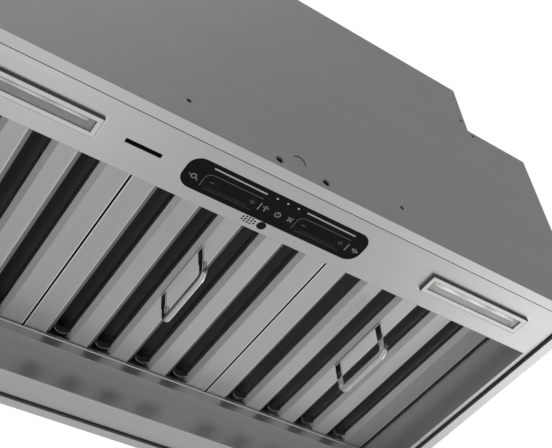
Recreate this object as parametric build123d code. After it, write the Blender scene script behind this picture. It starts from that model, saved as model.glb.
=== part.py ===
from build123d import *
from math import cos, radians, sin
import os

# Range hood insert. Millimetres, +Z up, front of the hood towards -Y.
# The origin is the middle of the bottom, on the plane of the return lip.

# Outer box
hood_width = 848.0
hood_depth = 489.0
body_height = 310.0
sheet = 1.0
lip_width = 13.2          # bottom return lip, all round
lip_upturn = 16.0         # inner edge of the lip, folded up
fascia_setback = 4.0      # the fascia lies this far above the lip
seam_gap = 3.4            # dark line between lip and fascia

# Tower on top, flush with the front
tower_width = 632.0
tower_depth = 340.0
tower_height = 100.0
tower_flange = 12.0

# Filter opening in the fascia, measured back from the front face
opening_width = 803.0
opening_front = 90.9
opening_rear = 433.0
hem_height = 10.0
hem_radius = 0.9
liner_gap = 0.2           # between the fascia's hem and the liner
liner_top = 98.0          # height of the liner's top flange

# Filters
filter_count = 3
filter_pitch = 267.0
filter_gap = 2.4          # between neighbours
filter_plane = 66.0       # height of the undersides
filter_height = 22.0
filter_front_gap = 1.5    # front rail to the hem
filter_rear_gap = 4.0     # rear rail to the hem
filter_sheet = 0.7
rail_width = 15.0
rail_top_flange = 12.0
slots_rear_end = 412.5    # where the open slots stop, back from the front face
baffle_pitch = 57.5
flat_width = 22.0
flank_run = 6.6
flank_rise = 6.0
baffle_lip = 6.5          # upright edge above the flank
upper_width = 38.0
upper_drop = 12.3
drain_length = 20.0
drain_width = 4.0

# Drop handle on the middle flat of each filter
bail_spread = 86.6        # between the leg centres
bail_centre = 232.2       # back from the front face
bail_offset = -11.0       # the pivot lies under the left crease
bail_bottom = 14.0        # height of the handle's lowest edge
bail_bar_width = 10.0     # of the legs and the grip
bail_leg_thickness = 2.0
bail_grip_thickness = 6.4
bail_grip_top = 39.0      # the thick grip runs this far up the legs
bail_corner = 13.0
bail_edge = 1.8
bail_eye_radius = 2.0
bail_rod_radius = 1.0
bail_fit = 0.06
sleeve_radius = 2.0
flat_clearance = 0.3      # between the turning handle and the flat

# Grease gutter under the rear ends of the filters
gutter_front = 414.4      # back from the front face
gutter_depth = 14.0
gutter_sheet = 0.8
bead_radius = 1.8         # rolled lip that the filters turn on
bead_clearance = 0.3

# Row of lamps and controls in the front strip
control_line = 54.05      # back from the front face
lamp_inner_end = 211.0    # from the middle
lamp_length = 150.0
lamp_width = 26.6
lamp_depth = 22.0
lamp_stand = 3.7          # how far the lamp frame stands below the fascia
gasket_wall = 1.0
gasket_flange = 3.0
cutout_clearance = 0.2
bezel_rim = 4.6
lens_recess = 1.4
lens_thickness = 1.6
lens_crown = 0.9
lamp_board_height = 12.0  # above the bezel's lower face
lamp_board_width = 13.3
board_thickness = 1.6
led_count = 9
led_size = 5.0
led_height = 0.8
lamp_post_radius = 2.5
lens_seat = 2.0           # the lens laps over the bezel's inner edge

glass_centre_x = 1.9
glass_length = 230.8
glass_width = 41.2
glass_corner = 15.4
glass_thickness = 3.0
glass_recess = 0.3
tray_wall = 1.6
tray_height = 11.0
tray_margin = 4.0
tray_ledge = 3.0          # the glass rests on this much of the tray

slot_centre_x = -161.5
slot_length = 41.6
slot_width = 5.5
vent_margin = 4.0         # the insert's body laps this far over the fascia
vent_height = 10.0
vent_roof = 2.0
vent_wall = 0.3

speaker_x = -18.7
speaker_line = 80.4
speaker_wall = 1.0
speaker_height = 8.0
speaker_columns = (2, 3, 3, 3, 2)
speaker_pitch_x = 3.72
speaker_pitch_y = 3.45
speaker_hole = 1.25
sensor_x = -2.1
sensor_line = 80.4
sensor_radius = 5.3
sensor_collar = 0.1       # wider behind the fascia
sensor_height = 8.0
dome_radius = 2.2
dome_drop = 0.6           # below the fascia's face

# Front face holes, up from the bottom
front_holes_x = -1.8      # middle of the two lower pairs
bolt_hole_spacing = 59.8
bolt_hole_height = 12.3
bolt_hole_radius = 5.2
nut_size = 16.0
nut_height = 4.0
nut_bore = 4.2
knockout_x = -4.8
knockout_height = 27.3
knockout_radius = 8.2
knockout_depth = 0.9      # the disc stands this far in
knockout_gap = 0.5
knockout_tab = 4.0
rivet_hole_radius = 2.7
rivet_hole_spacing = 278.2
rivet_hole_height = 36.2
tower_hole_inset = 7.8
tower_hole_rise = 18.5
shoulder_hole_outset = 6.8
shoulder_hole_drop = 8.4

# Screw holes in the side panels
side_hole_spacing = 380.0
side_hole_height = 40.0
side_hole_radius = 2.5

# Hanging holes in the tower lid
hang_spacing_x = 580.0
hang_spacing_y = 290.0
hang_hole_radius = 3.5

# Duct collar and butterfly damper
collar_radius = 101.6
collar_height = 45.0
collar_flange = 16.0
collar_bead = 1.4
collar_bead_height = 14.0 # above the lid
damper_height = 9.0       # rod above the lid
damper_rod_radius = 2.0
damper_fit = 0.05
knuckle_wall = 1.0
knuckle_length = 24.0
flap_gap = 1.3            # flap edge to collar wall
flap_thickness = 0.8
stop_width = 3.0

# Blowers, one each side of the middle
blower_x = 165.0
blower_line = 134.5       # axis, back from the front face
blower_height = 206.0     # axis, up from the bottom
scroll_width = 180.0
scroll_start = 84.0       # radius at the tongue
scroll_step = 12.0        # growth for each quarter turn
inlet_radius = 60.0
inlet_depth = 8.0
impeller_radius = 72.0
impeller_width = 150.0
blade_count = 36
blade_depth = 13.0
blade_thickness = 1.0
ring_height = 3.0
blade_turn = 32.0
disc_thickness = 1.5
hub_radius = 14.0
hub_length = 24.0
shaft_radius = 5.0
motor_radius = 44.0
motor_length = 60.0
motor_nose = 10.0         # slimmer ends of the case
motor_nose_radius = 27.0
shaft_seat = 20.0         # the shaft runs this far into the motor
shaft_end = 4.0           # and this far past the hub
shaft_fit = 0.05
motor_gap = 8.0           # impeller disc to motor
bracket_arm = 14.0
bracket_sheet = 2.0
bracket_disc_radius = 31.0
bracket_boss_radius = 17.5
bracket_turns = (90, 210, 330)

# Boxes behind the front strip
power_box_width = 190.0
power_box_depth = 70.0
power_box_floor = 18.0
power_box_gap = 1.5       # behind the nuts
power_cover_tab = 8.0
power_cover_gap = 0.3
power_board_drop = 12.4   # below the box's top
power_board_inset = 7.0
power_post_radius = 3.0
transformer = (40.0, 32.0, 28.0)
relay = (13.0, 20.0, 16.0)
relay_count = 4
relay_pitch = 18.0
can_radius = 6.0
can_height = 22.0
can_count = 3
can_pitch = 22.0
terminal_line = 37.0      # its middle, back from the front face
terminal_size = (40.0, 18.0, 16.0)
terminal_count = 3
terminal_pitch = 12.0
terminal_hole_radius = 3.0
driver_length = 90.0
driver_width = 40.0
driver_height = 24.0
driver_line = 26.0        # its middle, back from the front face
driver_corner = 3.0
capacitor_radius = 16.0
capacitor_length = 58.0
capacitor_spacing = 60.0
capacitor_line = 194.5    # back from the front face

# Magnet catches above the front rails
catch_spread = 160.0
catch_width = 22.0
magnet_thickness = 3.0
catch_clearance = 0.3

# Deck screws
screw_head_radius = 4.0
screw_head_height = 2.2
screw_shank_radius = 2.0
screw_length = 7.0
screw_gap = 0.1           # shank to hole
screw_inset = 18.0        # from the ends of a blower's outlet

front = -hood_depth / 2
side = hood_width / 2


def back(distance):
    return front + distance


def slab(x0, x1, y0, y1, z0, z1):
    return Pos((x0 + x1) / 2, (y0 + y1) / 2, (z0 + z1) / 2) * Box(x1 - x0, y1 - y0, z1 - z0)


def rod_z(x, y, z0, z1, radius):
    return Pos(x, y, (z0 + z1) / 2) * Cylinder(radius, z1 - z0)


def rod_y(x, z, y0, y1, radius):
    return Pos(x, (y0 + y1) / 2, z) * Rot(90, 0, 0) * Cylinder(radius, y1 - y0)


def rod_x(y, z, x0, x1, radius):
    return Pos((x0 + x1) / 2, y, z) * Rot(0, 90, 0) * Cylinder(radius, x1 - x0)


def plate_yz(outline, x0, x1):
    # outline is a sketch whose X runs along the hood's Y and whose Y runs up
    plane = Plane(origin=(x0, 0, 0), x_dir=(0, 1, 0), z_dir=(1, 0, 0))
    return extrude(plane * outline, x1 - x0)


def plate_xz(outline, y0, y1):
    # outline is a sketch whose X runs along the hood's X and whose Y runs up
    plane = Plane(origin=(0, y1, 0), x_dir=(1, 0, 0), z_dir=(0, -1, 0))
    return extrude(plane * outline, y1 - y0)


def polygon(points):
    return make_face(Polyline(*points, close=True))


def strip(points, thickness):
    # bent sheet: the line of points, thickened to its left with mitred corners
    line = [Vector(*point) for point in points]
    normals = []
    for start, end in zip(line, line[1:]):
        along = (end - start).normalized()
        normals.append(Vector(-along.Y, along.X))
    other = []
    for index, point in enumerate(line):
        before = normals[max(index - 1, 0)]
        after = normals[min(index, len(normals) - 1)]
        other.append(point + (before + after) * (thickness / (1 + before.dot(after))))
    return polygon(line + other[::-1])


def group(pieces):
    return Compound(children=list(pieces))


def save(name, shape):
    shape.label = name
    export_step(shape, f"parts/{name}.step")


# Casing

def bottom_lip(length, y_out, y_in):
    # flat lip plus its folded-up inner edge, running along X
    inner = y_in - sheet if y_in > y_out else y_in + sheet
    low, high = min(y_out, y_in), max(y_out, y_in)
    lip = slab(-length / 2, length / 2, low, high, 0, sheet)
    fold_half = length / 2 - lip_width + sheet
    return lip + slab(-fold_half, fold_half, min(inner, y_in), max(inner, y_in), 0, lip_upturn)


def front_panel():
    panel = slab(-side, side, front, front + sheet, 0, body_height)
    half = tower_width / 2
    panel += slab(-half, half, front, front + sheet, body_height, body_height + tower_height)
    panel += bottom_lip(hood_width, front, front + lip_width)
    holes = []
    for x in (-1, 1):
        holes.append((front_holes_x + x * bolt_hole_spacing / 2, bolt_hole_height, bolt_hole_radius))
        holes.append((front_holes_x + x * rivet_hole_spacing / 2, rivet_hole_height, rivet_hole_radius))
        holes.append((x * (half - tower_hole_inset), body_height + tower_hole_rise, rivet_hole_radius))
        holes.append((x * (half + shoulder_hole_outset), body_height - shoulder_hole_drop, rivet_hole_radius))
    for x, z, radius in holes:
        panel -= rod_y(x, z, front - 1, front + sheet + 1, radius)
    # the knock-out is sheared most of the way round and pushed in
    ring = rod_y(knockout_x, knockout_height, front, front + sheet, knockout_radius)
    disc = rod_y(knockout_x, knockout_height, front + knockout_depth,
                 front + knockout_depth + sheet, knockout_radius - knockout_gap)
    tab = slab(knockout_x - knockout_radius - 1, knockout_x - knockout_radius + 2,
               front + knockout_depth / 2, front + sheet,
               knockout_height - knockout_tab / 2, knockout_height + knockout_tab / 2)
    return panel - ring + disc + tab


def side_panel(sign):
    inner = side - sheet
    span = hood_depth / 2 - sheet
    run = hood_depth / 2 - lip_width
    panel = slab(inner, side, -span, span, sheet, body_height)
    panel += slab(side - lip_width, side, -run, run, 0, sheet)
    panel += slab(side - lip_width, side - lip_width + sheet, -run, run, 0, lip_upturn)
    for y in (-side_hole_spacing / 2, side_hole_spacing / 2):
        panel -= rod_x(y, side_hole_height, inner - 1, side + 1, side_hole_radius)
    return panel if sign > 0 else mirror(panel, Plane.YZ)


def back_panel():
    rear = hood_depth / 2
    return (slab(-side, side, rear - sheet, rear, 0, body_height)
            + bottom_lip(hood_width, rear, rear - lip_width))


def speaker_holes():
    points = []
    for column, count in enumerate(speaker_columns):
        x = (column - (len(speaker_columns) - 1) / 2) * speaker_pitch_x
        for row in range(count):
            points.append((x, (row - (count - 1) / 2) * speaker_pitch_y))
    return points


def fascia():
    z0, z1 = fascia_setback, fascia_setback + sheet
    half_x = side - lip_width - seam_gap
    half_y = hood_depth / 2 - lip_width - seam_gap
    plate = slab(-half_x, half_x, -half_y, half_y, z0, z1)
    upturn = slab(-half_x, half_x, -half_y, half_y, z0, lip_upturn)
    plate += upturn - slab(-half_x + sheet, half_x - sheet, -half_y + sheet, half_y - sheet, z0, lip_upturn)
    hole_x = opening_width / 2
    y0, y1 = back(opening_front), back(opening_rear)
    plate += slab(-hole_x - sheet, hole_x + sheet, y0 - sheet, y1 + sheet, z0, z0 + hem_height)
    plate -= slab(-hole_x, hole_x, y0, y1, z0 - 1, z0 + hem_height + 1)
    hem = [edge for edge in plate.edges().group_by(Axis.Z)[0]
           if abs(edge.center().X) < hole_x + 0.1 and y0 - 0.1 < edge.center().Y < y1 + 0.1
           and (abs(abs(edge.center().X) - hole_x) < 0.1
                or min(abs(edge.center().Y - y0), abs(edge.center().Y - y1)) < 0.1)]
    plate = fillet(hem, hem_radius)
    line = back(control_line)
    for x in lamp_centres():
        plate -= slab(x - lamp_length / 2 - cutout_clearance, x + lamp_length / 2 + cutout_clearance,
                      line - lamp_width / 2 - cutout_clearance,
                      line + lamp_width / 2 + cutout_clearance, z0 - 1, z1 + 1)
    window = Pos(glass_centre_x, line) * RectangleRounded(
        glass_length + 2 * cutout_clearance, glass_width + 2 * cutout_clearance,
        glass_corner + cutout_clearance)
    plate -= extrude(Pos(0, 0, z0 - 1) * window, sheet + 2)
    slot = Pos(slot_centre_x, line, z0 - 1) * Rectangle(slot_length, slot_width)
    plate -= extrude(slot, sheet + 2)
    for x, y in speaker_holes():
        plate -= rod_z(speaker_x + x, back(speaker_line) + y, z0 - 1, z1 + 1, speaker_hole)
    return plate - rod_z(sensor_x, back(sensor_line), z0 - 1, z1 + 1, sensor_radius + cutout_clearance)


def recess_liner():
    step = sheet + liner_gap
    hx = opening_width / 2 + step
    y0, y1 = back(opening_front) - step, back(opening_rear) + step
    foot = fascia_setback + sheet
    walls = slab(-hx - sheet, hx + sheet, y0 - sheet, y1 + sheet, foot, liner_top)
    flange_y = hood_depth / 2 - sheet
    walls += slab(-side + sheet, side - sheet, -flange_y, flange_y, liner_top - sheet, liner_top)
    return walls - slab(-hx, hx, y0, y1, foot - 1, liner_top + 1)


def grease_gutter():
    step = sheet + liner_gap
    half = opening_width / 2 - 1.0
    y0 = back(gutter_front)
    y1 = back(opening_rear) + step
    z0 = bead_height() - gutter_depth
    body = slab(-half, half, y0, y0 + gutter_sheet, z0, bead_height())
    body += slab(-half, half, y0, y1, z0, z0 + gutter_sheet)
    body += slab(-half, half, y1 - gutter_sheet, y1, z0, z0 + gutter_depth / 2)
    for x in (-half, half - gutter_sheet):
        body += slab(x, x + gutter_sheet, y0, y1, z0, z0 + gutter_depth / 2)
    return body + rod_x(bead_line(), bead_height(), -half, half, bead_radius)


def bead_line():
    return back(gutter_front) + gutter_sheet / 2


def bead_height():
    return filter_plane - bead_clearance - bead_radius


def scroll_outlet():
    # front and rear edges of a blower's outlet, in the hood's Y
    axis = back(blower_line)
    return axis - scroll_step / 2, axis + scroll_step / 2 + scroll_start + 2 * scroll_step


def blower_deck():
    deck = slab(-side + sheet, side - sheet, front + sheet, -front - sheet,
                body_height - sheet, body_height)
    y0, y1 = scroll_outlet()
    for x in (-blower_x, blower_x):
        half = scroll_width / 2 - sheet
        deck -= slab(x - half, x + half, y0 + sheet, y1 - sheet, body_height - 2, body_height + 1)
    for x, y in deck_screw_places():
        deck -= rod_z(x, y, body_height - 2, body_height + 1, screw_shank_radius)
    return deck


def deck_screw_places():
    y0, y1 = scroll_outlet()
    places = []
    for centre in (-blower_x, blower_x):
        for dx in (-1, 1):
            x = centre + dx * (scroll_width / 2 + tower_flange / 2)
            places += [(x, y0 + screw_inset), (x, y1 - screw_inset)]
    return places


def tower_wrap():
    half = tower_width / 2
    y1 = front + tower_depth
    z0, z1 = body_height, body_height + tower_height
    wrap = slab(-half, half, front + sheet, y1, z0, z1)
    wrap -= slab(-half + sheet, half - sheet, front, y1 - sheet, z0 - 1, z1 + 1)
    flange = slab(-half - tower_flange, half + tower_flange, front + sheet, y1 + tower_flange, z0, z0 + sheet)
    return wrap + (flange - slab(-half, half, front, y1, z0 - 1, z1 + 1))


def tower_lid():
    half = tower_width / 2 - sheet
    z1 = body_height + tower_height
    y0, y1 = front + sheet, front + tower_depth - sheet
    lid = slab(-half, half, y0, y1, z1 - sheet, z1)
    for y in (y0, y1 - sheet):
        lid += slab(-half, half, y, y + sheet, z1 - tower_flange, z1)
    lid -= rod_z(0, collar_line(), z1 - 2, z1 + 1, collar_radius - sheet)
    for x in (-hang_spacing_x / 2, hang_spacing_x / 2):
        for y in (-hang_spacing_y / 2, hang_spacing_y / 2):
            lid -= rod_z(x, collar_line() + y, z1 - 2, z1 + 1, hang_hole_radius)
    return lid


# Duct collar and damper

def collar_line():
    return front + tower_depth / 2


def damper_axis_height():
    return body_height + tower_height + damper_height


def duct_collar():
    z0 = body_height + tower_height
    y = collar_line()
    tube = rod_z(0, y, z0, z0 + collar_height, collar_radius)
    tube += rod_z(0, y, z0, z0 + sheet, collar_radius + collar_flange)
    tube -= rod_z(0, y, z0 - 1, z0 + collar_height + 1, collar_radius - sheet)
    bead = Pos(0, y, z0 + collar_bead_height) * Torus(collar_radius - sheet / 2, collar_bead)
    tube += bead - rod_z(0, y, z0, z0 + collar_height, collar_radius - sheet)
    stop_top = damper_axis_height() - flap_thickness / 2 - flat_clearance
    stop = rod_z(0, y, stop_top - sheet, stop_top, collar_radius - sheet / 2)
    stop -= rod_z(0, y, stop_top - 2, stop_top + 1, collar_radius - sheet - stop_width)
    tube += stop
    return tube - rod_x(y, damper_axis_height(), -collar_radius + sheet / 2, collar_radius - sheet / 2,
                        damper_rod_radius)


def damper_rod():
    return rod_x(collar_line(), damper_axis_height(), -collar_radius + sheet / 2, collar_radius - sheet / 2,
                 damper_rod_radius)


def damper_flap(sign):
    # sign -1 is the front flap, +1 the rear one; their knuckles take turns along the rod
    y, z = collar_line(), damper_axis_height()
    radius = collar_radius - sheet - flap_gap
    outer = damper_rod_radius + damper_fit + knuckle_wall
    near = outer + 0.5
    half = flap_thickness / 2
    plate = rod_z(0, y, z - half, z + half, radius)
    keep = slab(-radius, radius, y + near, y + radius + 1, z - 2, z + 2)
    if sign < 0:
        keep = slab(-radius, radius, y - radius - 1, y - near, z - 2, z + 2)
    flap = plate & keep
    for index in range(-3, 3):
        if (index % 2 == 0) == (sign > 0):
            x0 = (index + 0.5) * (knuckle_length + 1) - knuckle_length / 2
            low, high = sorted((y, y + sign * (near + 1)))
            flap += rod_x(y, z, x0, x0 + knuckle_length, outer)
            flap += slab(x0, x0 + knuckle_length, low, high, z - half, z + half)
    return flap - rod_x(y, z, -radius - 1, radius + 1, damper_rod_radius + damper_fit)


# Filters

def filter_centres():
    return [(index - (filter_count - 1) / 2) * filter_pitch for index in range(filter_count)]


def filter_edges():
    return back(opening_front) + filter_front_gap, back(opening_rear) - filter_rear_gap


def baffle_run():
    return filter_edges()[0] + rail_width, back(slots_rear_end)


def gap_centres():
    return [baffle_pitch * (index - 1.5) for index in range(4)]


def filter_frame(centre):
    y0, y1 = filter_edges()
    run0, run1 = baffle_run()
    t, low, high = filter_sheet, filter_plane, filter_plane + filter_height
    half = (filter_pitch - filter_gap) / 2
    gap_edge = gap_centres()[-1] + baffle_pitch / 2 - flat_width / 2 - flank_run
    profile = [(gap_edge, low + flank_rise + baffle_lip), (gap_edge, low + flank_rise),
               (gap_edge + flank_run, low), (half, low), (half, high), (half - rail_top_flange, high)]
    rail = plate_xz(strip(profile, t), run0, run1)
    corner = profile[2:]
    rail += plate_xz(strip(corner, t), y0, y1)
    frame = rail + mirror(rail, Plane.YZ)
    for wall0, wall1, flat0, flat1, top0, top1 in (
            (y0, y0 + t, y0, run0, y0, y0 + rail_top_flange),
            (y1 - t, y1, run1, y1, y1 - rail_top_flange, y1)):
        frame += slab(-half, half, wall0, wall1, low, high)
        frame += slab(-half, half, flat0, flat1, low, low + t)
        frame += slab(-half, half, top0, top1, high - t, high)
    drain_y = y1 - rail_width / 2
    for gap in gap_centres():
        frame -= slab(gap - drain_length / 2, gap + drain_length / 2,
                      drain_y - drain_width / 2, drain_y + drain_width / 2, low - 1, low + t + 1)
    return Pos(centre, 0, 0) * frame


def lower_baffles(centre):
    run0, run1 = baffle_run()
    low = filter_plane
    half = flat_width / 2
    profile = [(-half - flank_run, low + flank_rise + baffle_lip), (-half - flank_run, low + flank_rise),
               (-half, low), (half, low), (half + flank_run, low + flank_rise),
               (half + flank_run, low + flank_rise + baffle_lip)]
    channel = plate_xz(strip(profile, filter_sheet), run0, run1)
    pieces = [Pos(centre + offset_x, 0, 0) * channel
              for offset_x in (-baffle_pitch, 0, baffle_pitch)]
    return group(pieces + [bail_sleeve(centre)])


def upper_baffles(centre):
    y0, y1 = filter_edges()
    top = filter_plane + filter_height - filter_sheet
    half = upper_width / 2
    profile = [(half, top - upper_drop), (half, top), (-half, top), (-half, top - upper_drop)]
    channel = plate_xz(strip(profile, filter_sheet), y0 + filter_sheet, y1 - filter_sheet)
    return group([Pos(centre + gap, 0, 0) * channel for gap in gap_centres()])


def bail_pivot():
    return filter_plane - flat_clearance - bail_eye_radius


def bail_sleeve(centre):
    # rolled sleeve on the flat's underside, between the handle's legs
    x = centre + bail_offset
    half = (bail_spread - bail_bar_width) / 2 - 0.4
    y, z = back(bail_centre), bail_pivot()
    sleeve = rod_y(x, z, y - half, y + half, sleeve_radius)
    sleeve += slab(x, x + sleeve_radius, y - half, y + half, z, filter_plane)
    return sleeve - rod_y(x, z, y - half - 1, y + half + 1, bail_rod_radius + bail_fit)


def bail(centre):
    # thin legs and a thicker grip, both cut from one U, its left faces in one plane
    x = centre + bail_offset
    left = x - bail_leg_thickness / 2
    y, pivot = back(bail_centre), bail_pivot()
    half = (bail_spread + bail_bar_width) / 2
    inner = half - bail_bar_width
    tall = pivot - bail_bottom
    outer = Pos(y, pivot) * RectangleRounded(2 * half, 2 * tall, bail_corner)
    hole = Pos(y, pivot) * RectangleRounded(
        2 * inner, 2 * (tall - bail_bar_width), bail_corner - bail_bar_width)
    loop = outer - hole
    middle = (bail_grip_top + pivot) / 2
    legs = plate_yz(loop & Pos(y, middle) * Rectangle(2 * half + 2, pivot - bail_grip_top),
                    left, left + bail_leg_thickness)
    grip = plate_yz(loop & Pos(y, bail_grip_top - tall / 2) * Rectangle(2 * half + 2, tall),
                    left, left + bail_grip_thickness)
    long_edges = [edge for edge in grip.edges()
                  if min(abs(edge.center().X - left), abs(edge.center().X - left - bail_grip_thickness)) < 0.01
                  and edge.center().Z < bail_grip_top - 0.1]
    handle = fillet(long_edges, bail_edge) + legs
    for sign in (-1, 1):
        leg = y + sign * bail_spread / 2
        handle += rod_y(x, pivot, leg - bail_bar_width / 2, leg + bail_bar_width / 2, bail_eye_radius)
    return handle + rod_y(x, pivot, y - half + 1, y + half - 1, bail_rod_radius)


# Magnet catches above the filters' front rails

def liner_face():
    return back(opening_front) - sheet - liner_gap


def catch_places():
    return [centre + x for centre in filter_centres() for x in (-catch_spread / 2, catch_spread / 2)]


def magnet_bottom():
    return filter_plane + filter_height + catch_clearance


def catch_brackets():
    y0 = liner_face()
    z0 = magnet_bottom() + magnet_thickness
    pieces = []
    for x in catch_places():
        low, high = x - catch_width / 2, x + catch_width / 2
        shelf = slab(low, high, y0, y0 + rail_width, z0, z0 + sheet)
        pieces.append(shelf + slab(low, high, y0, y0 + sheet, z0, liner_top))
    return group(pieces)


def catch_magnets():
    y0 = liner_face() + rail_width
    z0 = magnet_bottom()
    half = catch_width / 2 - 2
    return group([slab(x - half, x + half, y0 - rail_width / 2, y0, z0, z0 + magnet_thickness)
                  for x in catch_places()])


# Lamps

def lamp_centres():
    middle = lamp_inner_end + lamp_length / 2
    return -middle, middle


def lamp_bottom():
    return fascia_setback - lamp_stand


def block(x, length, width, z0, z1):
    # a box centred on the row of lamps and controls
    y = back(control_line)
    return slab(x - length / 2, x + length / 2, y - width / 2, y + width / 2, z0, z1)


def lamp_gaskets():
    z0, top = lamp_bottom(), fascia_setback + sheet
    pieces = []
    for x in lamp_centres():
        ring = block(x, lamp_length, lamp_width, z0, top)
        ring += block(x, lamp_length + 2 * gasket_flange, lamp_width + 2 * gasket_flange, top, top + sheet)
        inner_length, inner_width = lamp_length - 2 * gasket_wall, lamp_width - 2 * gasket_wall
        pieces.append(ring - block(x, inner_length, inner_width, z0 - 1, top + 2))
    return group(pieces)


def lamp_bezel(x):
    z0 = lamp_bottom()
    z1 = z0 + lamp_depth
    length, width = lamp_length - 2 * gasket_wall, lamp_width - 2 * gasket_wall
    can = block(x, length, width, z0, z1)
    can -= block(x, length - 2 * sheet, width - 2 * sheet, z0 + lens_recess, z1 - sheet)
    can -= block(x, length - 2 * bezel_rim, width - 2 * bezel_rim, z0 - 1, z0 + lens_recess + 1)
    board_top = z0 + lamp_board_height + board_thickness
    for dx in (-length / 3, length / 3):
        can += rod_z(x + dx, back(control_line), board_top, z1 - sheet, lamp_post_radius)
    return can


def lamp_lens(x):
    z0 = lamp_bottom() + lens_recess
    length = lamp_length - 2 * gasket_wall - 2 * bezel_rim
    width = lamp_width - 2 * gasket_wall - 2 * bezel_rim
    plate = block(x, length + 2 * lens_seat, width + 2 * lens_seat, z0, z0 + lens_thickness)
    inset = cutout_clearance * 2
    half = (width - inset) / 2
    radius = (half ** 2 + lens_crown ** 2) / (2 * lens_crown)
    bulge = rod_x(back(control_line), z0 - lens_crown + radius, x - length / 2, x + length / 2, radius)
    return plate + (bulge & block(x, length - inset, width - inset, z0 - lens_crown, z0 + lens_thickness))


def lamp_boards():
    z0 = lamp_bottom() + lamp_board_height
    length = lamp_length - 2 * gasket_wall - 2 * bezel_rim
    pieces = []
    for x in lamp_centres():
        board = block(x, length, lamp_board_width, z0, z0 + board_thickness)
        for index in range(led_count):
            led_x = x + (index - (led_count - 1) / 2) * length / led_count
            board += block(led_x, led_size, led_size, z0 - led_height, z0)
        pieces.append(board)
    return group(pieces)


def lamp_driver():
    x = -(lamp_inner_end + driver_length / 2)
    y = back(driver_line)
    z1 = liner_top - sheet
    body = slab(x - driver_length / 2, x + driver_length / 2, y - driver_width / 2, y + driver_width / 2,
                z1 - driver_height, z1)
    return fillet(body.edges().filter_by(Axis.Z), driver_corner)


# Controls

def glass_outline(margin):
    corner = max(glass_corner + margin, 1.0)
    return Pos(glass_centre_x, back(control_line)) * RectangleRounded(
        glass_length + 2 * margin, glass_width + 2 * margin, corner)


def layer(outline, z0, z1):
    return extrude(Pos(0, 0, z0) * outline, z1 - z0)


def glass_top():
    return fascia_setback + glass_recess + glass_thickness


def control_glass():
    return layer(glass_outline(0), fascia_setback + glass_recess, glass_top())


def control_board():
    return layer(glass_outline(-tray_margin), glass_top(), glass_top() + board_thickness)


def control_tray():
    z0 = fascia_setback + sheet
    z1 = z0 + tray_height
    tray = layer(glass_outline(tray_margin), z0, z1)
    tray -= layer(glass_outline(cutout_clearance), z0 - 1, glass_top())
    tray -= layer(glass_outline(-tray_ledge), glass_top() - 1, z1 - tray_wall)
    rear = back(control_line + glass_width / 2 + cutout_clearance)
    x0 = speaker_x - speaker_box()[0] / 2 - 1
    x1 = sensor_x + sensor_radius + sensor_collar + 1
    return tray - slab(x0, x1, rear, rear + tray_margin + 1, z0 - 1, z1 + 1)


def speaker_box():
    # the hole field and its wall, without touching the sensor's collar
    return len(speaker_columns) * speaker_pitch_x + speaker_wall, max(speaker_columns) * speaker_pitch_y


def speaker():
    z0 = fascia_setback + sheet
    length, width = speaker_box()
    body = Pos(speaker_x, back(speaker_line), z0 + speaker_height / 2) * Box(length, width, speaker_height)
    room = Pos(speaker_x, back(speaker_line), z0) * Box(
        length - 2 * speaker_wall, width - 2 * speaker_wall, 2 * (speaker_height - 2 * speaker_wall))
    return body - room


def sensor_lens():
    z0 = fascia_setback
    y = back(sensor_line)
    lens = rod_z(sensor_x, y, z0, z0 + sheet, sensor_radius)
    lens += rod_z(sensor_x, y, z0 + sheet, z0 + sensor_height, sensor_radius + sensor_collar)
    dome = Pos(sensor_x, y, z0 - dome_drop + dome_radius) * Sphere(dome_radius)
    return lens + (dome & rod_z(sensor_x, y, z0 - dome_drop, z0 + sheet, sensor_radius))


def vent_insert():
    z0 = fascia_setback + sheet
    length, width = slot_length - cutout_clearance, slot_width - cutout_clearance
    body = block(slot_centre_x, length + 2 * vent_margin, width + 2 * vent_margin, z0, z0 + vent_height)
    body += block(slot_centre_x, length, width, fascia_setback + glass_recess, z0)
    return body - block(slot_centre_x, length - 2 * vent_wall, width - 2 * vent_wall,
                        fascia_setback - 1, z0 + vent_height - vent_roof)


# Power box behind the front panel

def power_box_sides():
    half = power_box_width / 2
    near = back(sheet + nut_height + power_box_gap)
    return -half, half, near, near + power_box_depth


def power_box():
    x0, x1, y0, y1 = power_box_sides()
    z0, z1 = power_box_floor, liner_top - sheet
    box = slab(x0, x1, y0, y1, z0, z1)
    box -= slab(x0 + sheet, x1 - sheet, y0 + sheet, y1 - sheet, z0 - 1, z1 - sheet)
    return box - rod_y(knockout_x, knockout_height, y0 - 1, y0 + sheet + 1, knockout_radius)


def power_box_cover():
    x0, x1, y0, y1 = power_box_sides()
    z1 = power_box_floor
    cover = slab(x0, x1, y0, y1, z1 - sheet, z1)
    step = sheet + power_cover_gap
    for x in (x0 + step, x1 - step - sheet):
        cover += slab(x, x + sheet, y0 + step, y1 - step, z1, z1 + power_cover_tab)
    return cover


def power_board():
    x0, x1, y0, y1 = power_box_sides()
    z1 = liner_top - 2 * sheet
    low = z1 - power_board_drop - board_thickness
    inset = sheet + power_board_inset
    board = slab(x0 + inset, x1 - inset, y0 + inset, y1 - inset, low, low + board_thickness)
    for x in (x0 + 2 * inset, x1 - 2 * inset):
        for y in (y0 + 2 * inset, y1 - 2 * inset):
            board += rod_z(x, y, low + board_thickness, z1, power_post_radius)
    middle = (y0 + y1) / 2
    length, width, height = transformer
    board += slab(-length * 1.5, -length / 2, middle - width / 2, middle + width / 2, low - height, low)
    length, width, height = relay
    for index in range(relay_count):
        x = (index + 0.5) * relay_pitch
        board += slab(x - length / 2, x + length / 2, middle - width, middle, low - height, low)
    for index in range(can_count):
        board += rod_z((index + 0.5) * can_pitch, middle + 2 * can_radius, low - can_height, low, can_radius)
    return board


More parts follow.
